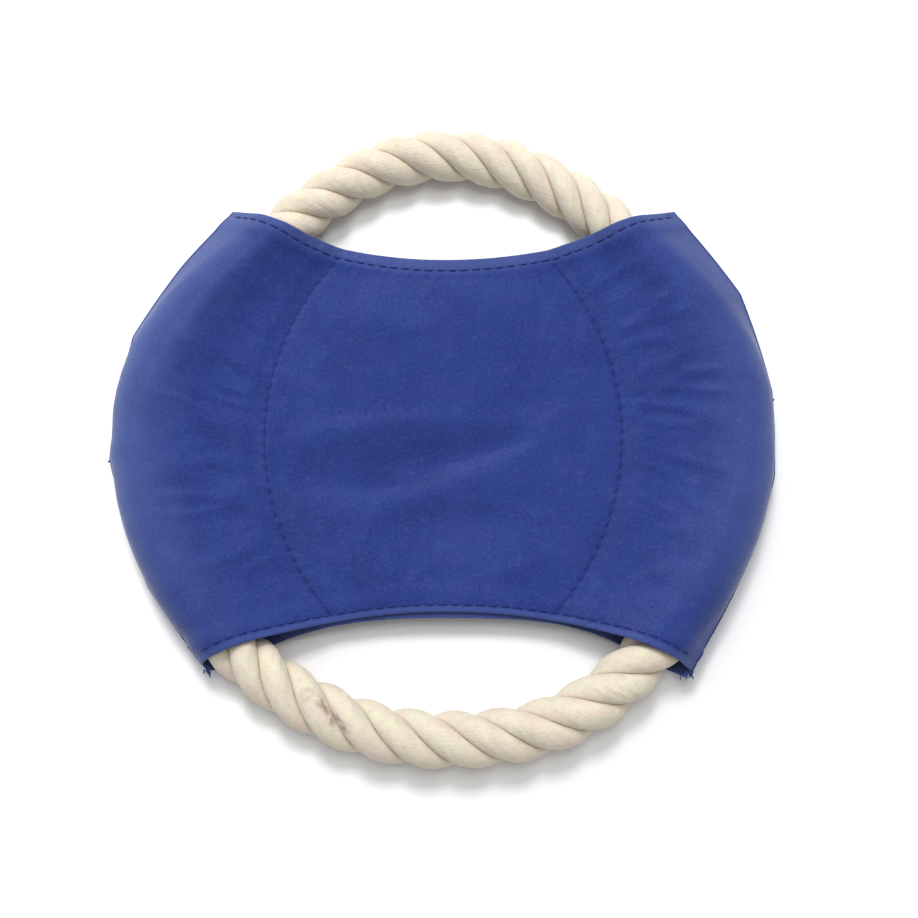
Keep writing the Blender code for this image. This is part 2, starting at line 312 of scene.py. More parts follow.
# Colours of the rope and of what is on it
COTTON_YELLOW = (0.67, 0.62, 0.485)
COTTON_PINK = (0.66, 0.56, 0.47)
COTTON_GREEN = (0.64, 0.63, 0.46)
# Painted shade in the grooves between yarns
YARN_GROOVE_SHADE = (0.44, 0.36, 0.26)
FIBRE_SHADE = (0.46, 0.38, 0.28)
HANDLED = (0.50, 0.44, 0.33)
# Painted shade in the lay's grooves between strands
STRAND_GROOVE_SHADE = (0.42, 0.33, 0.23)
SOIL = (0.17, 0.125, 0.095)
FUZZ_COLOURS = ((0.80, 0.74, 0.64), (0.62, 0.54, 0.44))
TAPE_COLOURS = ((0.66, 0.63, 0.56), (0.52, 0.49, 0.42))
TUBE_COLOURS = ((0.012, 0.012, 0.013), (0.045, 0.045, 0.048))

# Soiled places on the rope: a point, its reach and how dark it is
STAINS = (
    ((-31.9, -76.2, 15.4), 2.4, 0.70),
    ((-30.2, -78.0, 15.4), 2.4, 0.75),
    ((-28.9, -79.9, 15.2), 2.2, 0.70),
    ((-27.9, -81.6, 15.0), 2.4, 0.80),
    ((-26.0, -82.8, 14.8), 2.4, 0.70),
    ((-24.4, -83.6, 14.4), 2.0, 0.40),
    ((-35.6, -74.7, 15.4), 3.0, 0.35),
    ((47.9, -69.6, 15.0), 2.0, 0.35),
    ((51.3, -75.0, 12.6), 1.8, 0.30),
    ((22.0, -85.6, 14.4), 4.0, 0.18),
    ((57.0, 60.5, 13.0), 3.0, 0.25),
)
SOLID_STAIN = 0.25

# Studio, in metres. Lamps: name, place, size, power and whether surfaces show their gloss
FLOOR_HALF = 1.5
FLOOR_GREY = 0.85
SKY = 0.44
SKY_COLOUR = (0.985, 0.99, 1.0, 1)
LAMPS = (
    ("far", (-0.08, 0.44, 0.90), 0.24, 6.1, False),
    ("overhead", (0.03, 0.08, 1.00), 0.40, 3.0, False),
    ("low", (-0.40, 0.68, 0.60), 0.70, 3.5, True),
)

# Camera, in metres: it looks down steeply from the near side
ELEVATION = math.radians(75)
CAMERA_DISTANCE = 0.347
CAMERA_AIM = Vector((0.0045, -0.0087, MIDDLE_Z * MM))
LENS = 48.2


def pull_in(amounts, angle):
    """How far the ring is pulled in here: most on each diagonal, and nothing on the axes."""
    far, right = np.sin(angle) > 0, np.cos(angle) > 0
    quarters = [far & right, far & ~right, ~far & right]
    names = ["far right", "far left", "near right"]
    amount = np.select(quarters, [amounts[name] for name in names], amounts["near left"])
    return amount * np.sin(2 * angle) ** 2


def ring_radius(angle):
    """Radius of the rope's centreline."""
    oval = RING_RADIUS_X * np.cos(angle) ** 2 + RING_RADIUS_Y * np.sin(angle) ** 2
    from_bulge = np.abs((angle - BULGE_ANGLE + math.pi) % (2 * math.pi) - math.pi)
    bulge = BULGE * np.cos(math.pi / 2 * np.minimum(1, from_bulge / BULGE_REACH)) ** 2
    return oval - pull_in(RING_PULL_IN, angle) + bulge


def inside_ring(x, y):
    """Whether a place is inside the rope's centreline."""
    return np.hypot(x, y) < ring_radius(np.arctan2(y, x))


def ring_travel(angle):
    """How far the centreline moves in or out here while the ring turns."""
    here = ring_radius(angle)
    moves = [np.abs(ring_radius(angle + turn) - here) for turn in (-TURN_RANGE, TURN_RANGE)]
    return np.maximum(*moves)


def seam_radius(angle):
    """Distance from the origin to the sleeve seam, an arc centred on the X axis."""
    along, across = SEAM_CENTRE_X * np.abs(np.cos(angle)), SEAM_CENTRE_X * np.sin(angle)
    return along + np.sqrt(SEAM_ARC_RADIUS**2 - across**2)


def side_outline(from_side, corners):
    """Radius of one sleeve's outer edge, nearly straight from corner to corner."""
    degrees, radii = (np.array(values, float) for values in zip(*corners))
    from_side = np.clip(np.degrees(from_side), degrees[0], degrees[-1])
    run = np.clip(np.searchsorted(degrees, from_side), 1, len(degrees) - 1)
    start, stop = degrees[run - 1], degrees[run]
    share = (from_side - start) / (stop - start)
    radius = np.interp(from_side, degrees, radii)
    sagitta = radius * (1 - np.cos(np.radians(stop - start) / 2))
    return radius - STRAIGHTNESS * sagitta * 4 * share * (1 - share)


def edge_radius(angle):
    """Radius of the cover's outer edge, always clear of the rope."""
    from_side = np.arctan2(np.sin(angle), np.abs(np.cos(angle)))
    left, right = (side_outline(from_side, OUTLINE[side]) for side in ("left", "right"))
    clear = ring_radius(angle) + ring_travel(angle) + ROPE_RADIUS + ROOM_BEYOND_ROPE
    return np.maximum(np.where(np.cos(angle) > 0, right, left), clear)


def tent(distance, reach, foot):
    """Height of cloth that runs straight from its foot to a tangent on the rope's round, a reach away."""
    slope = np.arcsin(np.minimum(1, CLOTH_RADIUS / np.hypot(reach, foot))) - np.arctan2(foot, reach)
    straight = foot + (reach - distance) * np.tan(np.minimum(slope, STEEPEST))
    round_rope = np.sqrt(np.maximum(CLOTH_RADIUS**2 - distance**2, 0))
    height = np.where(distance > CLOTH_RADIUS * np.sin(slope), straight, round_rope)
    return np.maximum(height, foot)


def smooth(value, start, stop):
    """0 up to start, 1 from stop on, and smooth between them."""
    share = np.clip((value - start) / (stop - start), 0, 1)
    return share * share * (3 - 2 * share)


def bell(distance, width):
    """1 on a line, falling off smoothly to both sides of it."""
    return np.exp(-((distance / width) ** 2))


def cloth_height(x, y):
    """Height of the front panel above the cover's middle plane, before it creases."""
    radius, angle = np.hypot(x, y), np.arctan2(y, x)
    seam, centre, travel = seam_radius(angle), ring_radius(angle), ring_travel(angle)
    inner, outer = centre - travel, centre + travel
    across = np.clip((inner - radius) / (inner - seam), 0, 1)
    inside = tent(np.maximum(inner - radius, 0), inner - seam, PLY_OFFSET)
    inside = inside - SLEEVE_SLACK * np.sin(math.pi * across) ** 2
    inside = PLY_OFFSET + (inside - PLY_OFFSET) * smooth(radius - seam, *SLEEVE_RISES)
    reach = edge_radius(angle) - outer
    reach = reach - np.clip(reach - CLOTH_RADIUS + LIP_START, *LIP)
    narrowing = CLOTH_RADIUS / np.minimum(CLOTH_RADIUS, UNDER_REACH * reach)
    beyond = np.clip(radius - outer, 0, reach)
    outside = tent(beyond * narrowing, reach * narrowing, LIP_HEIGHT)
    height = np.where(radius < inner, inside, np.where(radius > outer, outside, CLOTH_RADIUS))
    return np.where(radius <= seam, PLY_OFFSET, height)


def bumps(x, y, size, seed):
    """Smooth noise from -1 to 1, with bumps about one size across."""
    lattice = np.random.default_rng(seed).uniform(-1, 1, (LATTICE, LATTICE))
    x, y = x / size + LATTICE_START[0], y / size + LATTICE_START[1]
    column, row = np.floor(x).astype(int), np.floor(y).astype(int)
    u, v = smooth(x - column, 0, 1), smooth(y - row, 0, 1)
    left, right = column % LATTICE, (column + 1) % LATTICE
    rows = row % LATTICE, (row + 1) % LATTICE
    near, far = (lattice[j, left] * (1 - u) + lattice[j, right] * u for j in rows)
    return near * (1 - v) + far * v


def uneven(x, y, height, size, seed):
    """Bumps of a given height."""
    return height * bumps(x, y, size, seed)


def through(places):
    """A smooth line through the places."""
    places = np.array(places, float)
    ends = np.vstack([2 * places[0] - places[1], places, 2 * places[-1] - places[-2]])
    share = np.linspace(0, 1, CREASE_STEPS, endpoint=False)[:, None]
    line = []
    for a, b, c, d in zip(ends, ends[1:], ends[2:], ends[3:]):
        slope, bend, twist = c - a, 2 * a - 5 * b + 4 * c - d, 3 * (b - c) + d - a
        line.append(b + 0.5 * share * (slope + share * (bend + share * twist)))
    return np.vstack([*line, places[-1]])


def crease(x, y, places, height, far_width, near_width):
    """Height of one crease: a rounded ridge or hollow along a line, with a side for each width."""
    line = through(places)
    start, run = line[:-1], np.diff(line, axis=0)
    length = np.hypot(*run.T)
    from_start = np.stack([x, y], -1)[..., None, :] - start
    share = np.clip((from_start * run).sum(-1) / length**2, 0, 1)
    away = from_start - share[..., None] * run
    distance = np.hypot(away[..., 0], away[..., 1])
    side = run[:, 0] * from_start[..., 1] - run[:, 1] * from_start[..., 0]
    nearest = distance.argmin(-1)[..., None]
    side, share, distance = (np.take_along_axis(a, nearest, -1)[..., 0] for a in (side, share, distance))
    along = (share + nearest[..., 0]) / len(run)
    fading = np.sin(math.pi * np.clip(along, *CREASE_ENDS)) ** CREASE_FADE
    return height * bell(distance, np.where(side > 0, far_width, near_width)) * fading


def creasing(x, y, face):
    """How far a panel is creased. Between the sleeves the two panels lie together."""
    radius, angle = np.hypot(x, y), np.arctan2(y, x)
    centre = ring_radius(angle)
    in_sleeve = smooth(radius - seam_radius(angle), *SLEEVE_STARTS)
    slack = in_sleeve * (1 - smooth(radius - centre, *SLACK_ENDS))
    on_rope = smooth(radius - centre, *ROPE_STARTS)
    height = uneven(x, y, *SWELL) * (1 - in_sleeve)
    height = height + uneven(x, y, *ROLLING) * (1 - ROLLING_LOSS * on_rope)
    height = height + sum(uneven(x, y, *crumple) for crumple in CRUMPLES)
    around = angle * centre
    folds = 1 - 2 * np.abs(bumps(around + FOLD_SLANT * radius, radius * FOLD_STRETCH, *SLEEVE_FOLDS))
    height = height + FOLD_HEIGHT * slack * folds
    height = height + on_rope * uneven(around, radius * ROPE_FOLD_STRETCH, *ROPE_FOLDS)
    creases = sum(crease(x, y, *each) for each in CREASES)
    if face == "front":
        return height + creases
    return height * ((1 + BACK_CREASES) * in_sleeve - 1) + np.maximum(-creases, 0) * (1 - in_sleeve)


def spread(start, stop, count):
    """Places along every row, from its start up to just before its stop."""
    return start[:, None] + (stop - start)[:, None] * np.arange(count) / count


def outer_painted_sheen(x, y):
    """How much painted sheen pales the cloth round its outer edges: less on the right, and by the hems."""
    from_edge = edge_radius(np.arctan2(y, x)) - np.hypot(x, y)
    patchy = from_edge + bumps(x, y, *SHEEN_PATCHES)
    broad, narrow = (1 - smooth(patchy, *band) for band in (BROAD_SHEEN, NARROW_SHEEN))
    painted_light = BROAD_SHARE * broad + (1 - BROAD_SHARE) * narrow
    along = smooth(y, *SHEEN_STARTS) * (1 - SHEEN_DROP * smooth(y, *SHEEN_DROPS))
    return painted_light * along * np.where(x > 0, RIGHT_SHEEN, 1) * smooth(from_edge, *EDGE_WITHOUT_SHEEN)


class HalfRows:
    """The lines across one panel on one side, from share -1 at its near edge to 1 at its far edge."""

    def __init__(self, shares, face, side_name):
        waist, corner = WAIST[face], CORNER[face][side_name]
        from_hem = 1 - shares
        fanned = FAR_CORNER_HEM + (1 - FAR_CORNER_HEM) * smooth(from_hem, 0, FAR_CORNER_REACH)
        turned = np.where(shares > 0, 1 - from_hem * fanned, shares)
        from_side = turned * np.radians(np.where(shares > 0, corner["far"], corner["near"]))
        self.side = SIDES[side_name]
        edge = edge_radius(from_side if self.side > 0 else math.pi - from_side)
        self.end = edge * np.cos(from_side)
        self.waist = shares * np.where(shares > 0, waist["far"], waist["near"])
        self.rise = edge * np.sin(from_side) - self.waist
        self.bend = 2 + (NEAR_HEM_BEND[face][side_name] - 2) * np.maximum(-shares, 0)
        seam, rope = self.crossing(seam_radius), self.crossing(ring_radius)
        quarter = np.sin(np.linspace(0, math.pi / 2, OUTER_COLUMNS + 1))
        self.out = np.hstack([
            spread(0 * seam, seam - SEAM_BAND, CENTRE_COLUMNS),
            spread(seam - SEAM_BAND, seam, SEAM_COLUMNS),
            spread(seam, seam + SEAM_BAND, SEAM_COLUMNS),
            spread(seam + SEAM_BAND, rope, INNER_COLUMNS),
            rope[:, None] + (self.end - rope)[:, None] * quarter,
        ])
        self.from_seam = self.out - seam[:, None]

    def place(self, out):
        """X and Y of places this far out along the rows."""
        share = (out.T / self.end).T
        return self.side * out, (self.waist + self.rise * share.T**self.bend).T

    def crossing(self, radius_at):
        """How far out each row crosses a line round the origin."""
        low, high = np.zeros_like(self.end), self.end.copy()
        for _ in range(HALVINGS):
            middle = (low + high) / 2
            x, y = self.place(middle)
            inside = np.hypot(x, y) < radius_at(np.arctan2(y, x))
            low, high = np.where(inside, middle, low), np.where(inside, high, middle)
        return low


def unit(vectors):
    return vectors / np.linalg.norm(vectors, axis=-1, keepdims=True)


def running_length(points, axis):
    """Distance along a line of points, from its first point on."""
    steps = np.linalg.norm(np.diff(points, axis=axis), axis=-1)
    return np.cumsum(np.insert(steps, 0, 0, axis=axis), axis=axis)


def stitch_marks(length):
    """1 at each needle hole, 0 in the middle of each stitch."""
    return 0.5 + 0.5 * np.cos(2 * math.pi * length / PITCH)


def groove(away, marks, depth, width):
    """Depth of the groove under a line of stitching, deepest at the needle holes."""
    return depth * bell(away, width) * (BETWEEN_HOLES + (1 - BETWEEN_HOLES) * marks)


class Panel:
    """One panel's cloth, on a grid of rows from near to far and columns from left to right."""

    def __init__(self, face):
        self.face = face
        self.way = {"front": 1, "back": -1}[face]
        shares, self.hem_row = self.row_shares(WAIST[face])
        left, right = (HalfRows(shares, face, side) for side in ("left", "right"))
        x, y = (np.hstack([a[:, :0:-1], b]) for a, b in zip(left.place(left.out), right.place(right.out)))
        self.middle = left.out.shape[1] - 1
        self.seam_columns = {"left": self.middle - SEAM_COLUMN, "right": self.middle + SEAM_COLUMN}
        from_seam = np.hstack([left.from_seam[:, :0:-1], right.from_seam])
        self.shares = shares
        self.base_height = cloth_height(x, y)
        sag = CENTRE_SAG * (1 - smooth(np.hypot(x, y), *SAG_FADES))
        z = MIDDLE_Z + self.way * self.base_height - sag
        self.points = np.stack([x, y, z], -1)
        self.flat_u = running_length(np.stack([x, z], -1), 1)
        self.flat_u -= self.flat_u[:, [self.middle]]
        self.hem_length = {end: running_length(self.points[row], 0) for end, row in self.hem_row.items()}
        self.seam_length = {
            side: running_length(self.points[:, column], 0) for side, column in self.seam_columns.items()
        }
        # Painted sheen by the outer edge; the hems add their painted highlights to it
        self.painted_light = outer_painted_sheen(x, y)
        # Painted shade in the needle holes, added by the stitching
        self.hole_shade = np.zeros_like(x)
        self.displace(x, y, from_seam)

    def row_shares(self, waist):
        """Shares of the rows: close together in the hems, where one runs under the stitching."""
        near, far = (
            np.hstack([
                np.linspace(FOLD_RADIUS, HEM_STITCH[end], HEM_ROWS, endpoint=False),
                np.linspace(HEM_STITCH[end], PLAIN_ROWS_START, ROWS_PAST_HEM + 1),
            ])
            for end in ("near", "far")
        )
        self.hem_rows_in = np.sum(near <= HEM_TURNED_IN)
        near_shares = -(1 - near / waist["near"])
        far_shares = 1 - far[::-1] / waist["far"]
        between = np.linspace(near_shares[-1], far_shares[0], PLAIN_ROWS)[1:-1]
        shares = np.hstack([near_shares, between, far_shares])
        hem_row = {"near": HEM_ROWS, "far": len(shares) - 1 - HEM_ROWS}
        self.seam_rows = slice(hem_row["near"], hem_row["far"] + 1)
        return shares, hem_row

    def displace(self, x, y, from_seam):
        """Creases, hem thickness, puckers and needle holes, all along the surface's normal."""
        from_near = running_length(self.points, 0)
        from_edge = {"near": from_near, "far": from_near[-1] - from_near}
        hem = sum(1 - smooth(distance, *HEM_STEP) for distance in from_edge.values())
        plain = (1 - HEM_STIFFNESS * hem) * (1 - bell(from_seam, SEAM_STIFFNESS))
        free = smooth(self.base_height, *CREASES_START) + inside_ring(x, y)
        away = creasing(x, y, self.face) * plain * np.minimum(free, 1) + HEM_LIFT * hem
        for end in self.hem_length:
            away = away + self.stitched_hem(end, from_edge[end], hem)
        for side in self.seam_length:
            away = away + self.stitched_seam(side, x, from_seam)
        self.points = self.points + away[..., None] * self.surface_normals()
        if self.face == "back":
            self.points[..., 2] = np.maximum(self.points[..., 2], REST_Z)
        self.normals = self.surface_normals()

    def stitched_hem(self, end, from_edge, hem):
        """Adds a hem's painted highlight and the painted shade in its needle holes. Returns how far its
        stitching moves the cloth.
        """
        # Painted highlight along the hem
        amount, start, stop = HEM_PAINTED_HIGHLIGHT[self.face][end]
        self.painted_light = np.maximum(self.painted_light, amount * (1 - smooth(from_edge, start, stop)))
        away, length = from_edge - from_edge[self.hem_row[end]], self.hem_length[end]
        marks = stitch_marks(length)
        self.hole_shade = np.maximum(self.hole_shade, HEM_HOLE_SHADE * bell(away, HOLE_SHADE_RADIUS) * marks**2)
        height, reach, size = HEM_PUCKER
        pucker = bumps(length, 0 * length, size, 11) + marks - 0.5
        return height * hem * pucker * bell(away, reach) - groove(away, marks, *HEM_GROOVE)

    def stitched_seam(self, side, x, from_seam):
        """Adds the painted shade in a sleeve seam's needle holes. Returns how far its stitching moves the
        cloth.
        """
        here = np.zeros_like(x)
        here[self.seam_rows] = x[self.seam_rows] * SIDES[side] > 0
        length = self.seam_length[side]
        marks = stitch_marks(length)[:, None]
        self.hole_shade = np.maximum(self.hole_shade, here * bell(from_seam, HOLE_SHADE_RADIUS) * marks**3)
        height, reach, size = SEAM_PUCKER
        pucker = bumps(length, 0 * length, size, 12)[:, None] + PUCKER_SKIP * (0.5 - marks)
        pucker = height * pucker * bell(from_seam, reach) * np.abs(np.tanh(from_seam / PUCKER_START))
        return here * (pucker - groove(from_seam, marks, *SEAM_GROOVE))

    def surface_normals(self):
        """Unit normals that point out of the cover."""
        across, along = np.gradient(self.points, axis=1), np.gradient(self.points, axis=0)
        return self.way * unit(np.cross(across, along))

    def hem_fold(self, end):
        """The cloth's way from one edge row round the fold and back under the hem, in rows."""
        step = {"near": 1, "far": -1}[end]
        rows = np.arange(self.hem_rows_in) * step + (0 if end == "near" else len(self.shares) - 1)
        points, normals = self.points[rows], self.normals[rows]
        outward = unit(points[0] - points[1])
        centre = points[0] - FOLD_RADIUS * normals[0]
        steps = np.arange(1, FOLD_STEPS + 1)[:, None]
        turns = FOLD_TURN * steps[..., None]
        fold = centre + FOLD_RADIUS * (np.cos(turns) * normals[0] + np.sin(turns) * outward)
        back = points - 2 * FOLD_RADIUS * normals
        under = FOLD_RADIUS * math.pi + running_length(points, 0)
        beyond = np.vstack([np.broadcast_to(FOLD_RADIUS * FOLD_TURN * steps, fold.shape[:2]), under])
        return np.concatenate([fold, back]), points[0, :, 1] - step * beyond

    def mesh_rows(self):
        """All rows of the cloth, hems included, their places on the flat cloth, and their painted sheen and
        hem highlights and the painted shade in their needle holes.
        """
        near, near_v = self.hem_fold("near")
        far, far_v = self.hem_fold("far")
        points = np.concatenate([near[::-1], self.points, far])
        v = np.concatenate([near_v[::-1], self.points[..., 1], far_v])

        def with_hems(values):
            return np.concatenate([values[:1].repeat(len(near), 0), values, values[-1:].repeat(len(far), 0)])

        flat = np.stack([with_hems(self.flat_u), v], -1)
        return points, flat, with_hems(np.stack([self.painted_light, self.hole_shade], -1))


def add_object(name, mesh, body, look, replaced=()):
    """Puts a finished mesh in the scene, riding on its body and standing for its nodes."""
    made = bpy.data.objects.new(name, mesh)
    bpy.context.scene.collection.objects.link(made)
    mesh.materials.append(look)
    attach(made, body)
    if replaced:
        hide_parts(*replaced)
    return made


def mesh_of(name, points, faces, uv=None):
    """A smooth mesh. uv gives each point's place on the flat material, in millimetres."""
    mesh = bpy.data.meshes.new(name)
    mesh.from_pydata((np.asarray(points).reshape(-1, 3) * MM).tolist(), [], faces)
    mesh.shade_smooth()
    if uv is not None:
        add_layer(mesh, "flat", uv * MM)
    return mesh


def add_layer(mesh, name, pairs):
    """Stores two numbers for each point of a mesh, as a UV layer."""
    corners = np.empty(len(mesh.loops), np.int32)
    mesh.loops.foreach_get("vertex_index", corners)
    values = pairs.reshape(-1, 2)[corners].astype(np.float32)
    mesh.uv_layers.new(name=name).data.foreach_set("uv", values.ravel())


def grid_faces(rows, columns, closed=False):
    """Quads between neighbouring rows, and also from the last column to the first where it is closed."""
    across = columns if closed else columns - 1
    row, column = (a.ravel() for a in np.meshgrid(np.arange(rows - 1), np.arange(across), indexing="ij"))
    following = (column + 1) % columns
    corners = [row * columns + column, row * columns + following, (row + 1) * columns + following]
    return np.stack([*corners, (row + 1) * columns + column], -1)


def add_panel(panel, look):
    """A panel's cloth, with its thickness."""
    points, uv, painted_light = panel.mesh_rows()
    faces = grid_faces(*points.shape[:2])
    if panel.way < 0:
        faces = faces[:, ::-1]
    name = f"{panel.face}_panel_cloth"
    mesh = mesh_of(name, points, faces.tolist(), uv)
    # A layer of painted light: the painted sheen and hem highlights, and the painted shade in the needle
    # holes
    add_layer(mesh, "painted_light", painted_light)
    made = add_object(name, mesh, "cover", look, [f"{panel.face}_panel"])
    wall = made.modifiers.new("cloth", "SOLIDIFY")
    wall.thickness = CLOTH * MM
    wall.offset = 0


def tubes(paths, radii, sides):
    """Closed round tubes along paths, an array of tubes by points by XYZ, each with its own radii."""
    count, steps = paths.shape[:2]
    forward = unit(np.gradient(paths, axis=1))
    helper = np.where(np.abs(forward[..., 2:]) > 0.9, [1.0, 0, 0], [0, 0, 1.0])
    across = unit(np.cross(forward, helper))
    up = np.cross(across, forward)
    turns = np.arange(sides) * 2 * math.pi / sides
    ring = across[:, :, None] * np.cos(turns)[:, None] + up[:, :, None] * np.sin(turns)[:, None]
    walls = (paths[:, :, None] + radii[..., None, None] * ring).reshape(count, -1, 3)
    points = np.concatenate([walls, paths[:, [0, -1]]], 1)
    wall_faces = grid_faces(steps, sides, closed=True)
    first, last = steps * sides, steps * sides + 1
    side, following = np.arange(sides), (np.arange(sides) + 1) % sides
    near_cap = np.stack([following, side, np.full(sides, first)], -1)
    far_cap = np.stack([side, following, np.full(sides, last)], -1) + [first - sides, first - sides, 0]
    offsets = np.arange(count)[:, None, None] * points.shape[1]
    faces = []
    for part in (wall_faces, near_cap, far_cap):
        faces += (part + offsets).reshape(-1, part.shape[1]).tolist()
    return points, faces


def along_line(line, length, where):
    """Places at given running lengths of a line."""
    return np.stack([np.interp(where, length, line[:, k]) for k in range(3)], -1)


def add_stitches(node, line, normals, length, look, radius, seed, lift=0.0):
    """Stitches from needle hole to needle hole along a line on the cloth."""
    rng = np.random.default_rng(seed)
    first, last = math.ceil(length[0] / PITCH), math.floor(length[-1] / PITCH)
    share = np.linspace(-1, 1, STITCH_STEPS)
    middles = (np.arange(first, last) + 0.5) * PITCH + rng.normal(0, STITCH_SHIFT, last - first)
    spans = PITCH * STITCH_SHARE / 2 * (1 + rng.normal(0, STITCH_SPREAD, last - first))
    where = middles[:, None] + spans[:, None] * share
    paths = along_line(line, length, where)
    out = unit(along_line(normals, length, where))
    height = CLOTH / 2 + radius * STITCH_BEDDED + lift - STITCH_SINK * share**4
    paths = paths + height[:, None] * out
    rounding = np.sqrt(np.maximum(1 - (STITCH_ROUNDING * share) ** 8, STITCH_TIP))
    radii = radius * rounding * np.ones((len(paths), 1))
    points, faces = tubes(paths, radii, 8)
    name = f"{node}_stitches"
    add_object(name, mesh_of(name, points, faces), "cover", look, [node])


def add_stitching(front, back, seam_look, hem_look):
    """Every line of stitching on the cover, each for its thread in the model."""
    for panel in (front, back):
        for side, column in panel.seam_columns.items():
            rows = panel.seam_rows
            line, normals = panel.points[rows, column], panel.normals[rows, column]
            node, length = f"{side}_sleeve_seam_thread_{panel.face}", panel.seam_length[side][rows]
            add_stitches(node, line, normals, length, seam_look, SEAM_THREAD_RADIUS, 21)
        for end, row in panel.hem_row.items():
            x, y = panel.points[row, :, 0], panel.points[row, :, 1]
            columns = np.abs(np.arange(len(x)) - panel.middle) < panel.middle - HEM_THREAD_SHORT
            if panel.face == "back":
                columns = inside_ring(x, y) & (panel.base_height[row] < CLOTH_RADIUS / 2)
            line, normals = panel.points[row, columns], panel.normals[row, columns]
            node, length = f"{end}_hem_thread_{panel.face}", panel.hem_length[end][columns]
            add_stitches(node, line, normals, length, hem_look, HEM_THREAD_RADIUS, 22)
    for side, column in (("left", 0), ("right", -1)):
        edge = (front.points[:, column] + back.points[:, column]) / 2
        inward = unit(edge * [-1, -1, 0])
        line = edge + OUTER_THREAD_IN * inward
        node, length = f"{side}_outer_seam_thread", running_length(line, 0)
        add_stitches(node, line, inward, length, seam_look, SEAM_THREAD_RADIUS, 23, OUTER_THREAD_LIFT)


def strand_section():
    """A strand's section as turns from its own middle and distances from the rope's centreline."""
    turns = np.linspace(0, math.pi, SECTION_STEPS)
    out, across = STRAND_CENTRE + STRAND_DEPTH * np.cos(turns), STRAND_WIDTH * np.sin(turns)
    third = math.tan(math.pi / 3)
    room = third * out - 2 * STRAND_GAP - across
    edge = turns[np.argmax(room < 0)]
    face = np.linspace(-edge, edge, STRAND_FACE_POINTS)
    out, across = STRAND_CENTRE + STRAND_DEPTH * np.cos(face), STRAND_WIDTH * np.sin(face)
    flank_out = np.hstack([FLANK_PLACES * out[-1], FLANK_PLACES[::-1] * out[0]])
    flank_across = (third * np.abs(flank_out) - 2 * STRAND_GAP) * np.array([1, 1, 1, -1, -1, -1])
    out, across = np.hstack([out, flank_out]), np.hstack([across, flank_across])
    return np.arctan2(across, out), np.hypot(out, across)


def squeeze(angle):
    """Share of its free size that the rope has here: less inside the joining sleeve."""
    from_joint = np.minimum(angle, 2 * math.pi - angle)
    return SQUEEZE + (1 - SQUEEZE) * smooth(from_joint, SQUEEZE_FULL, SQUEEZE_START)


def on_strand(number, angle, turn, distance):
    """A place on a strand: turned from its middle line, and this far from the rope's centreline."""
    phase = 2 * math.pi * number / 3 + LAY_PHASE + LAY_TURNS * angle + turn
    radius = ring_radius(angle) + distance * np.cos(phase)
    height = MIDDLE_Z - distance * np.sin(phase)
    return np.stack([radius * np.cos(angle), radius * np.sin(angle), height], -1)


def strand_lumps(number, angle, turn):
    """Unevenness of the bare rope: long swells, and shorter ones where yarns lie over each other."""
    bare = smooth(np.abs(np.sin(angle)), *LUMPS_SET_IN)
    along, across = angle * RING_RADIUS_Y, turn * ROPE_RADIUS
    swell = uneven(along, across, *SWELLS, 31 + number)
    on_yarn = (along + across / YARN_SLANT) * YARN_STRETCH[0], across - YARN_SLANT * along * YARN_STRETCH[1]
    yarns = uneven(*on_yarn, *YARN_LUMPS, 41 + number)
    return STRAND_LUMPS * bare * (swell + yarns + uneven(along, across, *SMALL_LUMPS, 51 + number))


def add_strand(letter, number, look):
    """One strand, twisted round the ring from one cut end of the rope to the other."""
    turn, distance = strand_section()
    angle = np.linspace(END_GAP, 2 * math.pi - END_GAP, STRAND_SECTIONS)[:, None]
    lumps = strand_lumps(number, angle, turn) * (distance / ROPE_RADIUS) ** 2
    points = on_strand(number, angle, turn[None], (distance + lumps) * squeeze(angle))
    uv = np.stack(np.broadcast_arrays(turn * ROPE_RADIUS, angle * RING_RADIUS_Y), -1)
    count = len(turn)
    faces = grid_faces(STRAND_SECTIONS, count, closed=True)[:, ::-1].tolist()
    faces += [list(range(count)), list(range((STRAND_SECTIONS - 1) * count, STRAND_SECTIONS * count))[::-1]]
    node = f"rope_strand_{letter}"
    mesh = mesh_of(f"{node}_lay", points, faces, uv)
    add_object(f"{node}_lay", mesh, "rope_ring", look, [node])


def add_fuzz(look):
    """Loose fibre ends that stand off the bare rope and curl over."""
    rng = np.random.default_rng(61)
    count = FUZZ_HAIRS
    number, turn = rng.integers(0, 3, count), rng.uniform(*FUZZ_TURNS, count)
    far = rng.random(count) < 0.5
    angle = np.where(far, rng.uniform(*FUZZ_FAR, count), rng.uniform(*FUZZ_NEAR, count))
    section_turn, section_distance = strand_section()
    order = np.argsort(section_turn)
    surface = np.interp(turn, section_turn[order], section_distance[order])
    root, outer = (on_strand(number, angle, turn, surface + lift) for lift in (FUZZ_ROOT, 1))
    out = unit(outer - root)
    sideways = unit(np.cross(out, rng.normal(size=(count, 3))))
    by_mouth = 1 - smooth(np.abs(np.sin(angle)), *FUZZ_SETS_IN)
    length = rng.uniform(*FUZZ_LENGTH, count) * rng.uniform(0.5, 1, count)
    length = (length * (1 - FUZZ_LOSS * by_mouth))[:, None, None]
    share = np.linspace(0, 1, 5)[:, None]
    lean, curl = rng.uniform(*FUZZ_LEAN, (count, 1, 1)), rng.normal(0, FUZZ_CURL, (count, 1, 1))
    rising = out[:, None] * share * (1 - FUZZ_DROOP * share)
    leaning = sideways[:, None] * lean * share**1.5
    curling = unit(np.cross(out, sideways))[:, None] * curl * share**2
    paths = root[:, None] + length * (rising + leaning + curling)
    paths[..., 2] = np.maximum(paths[..., 2], LOWEST_HAIR)
    radii = FUZZ_RADIUS * (1 - FUZZ_THINNING * share.T) * np.ones((count, 1))
    points, faces = tubes(paths, radii, 3)
    add_object("rope_fuzz", mesh_of("rope_fuzz", points, faces), "rope_ring", look)


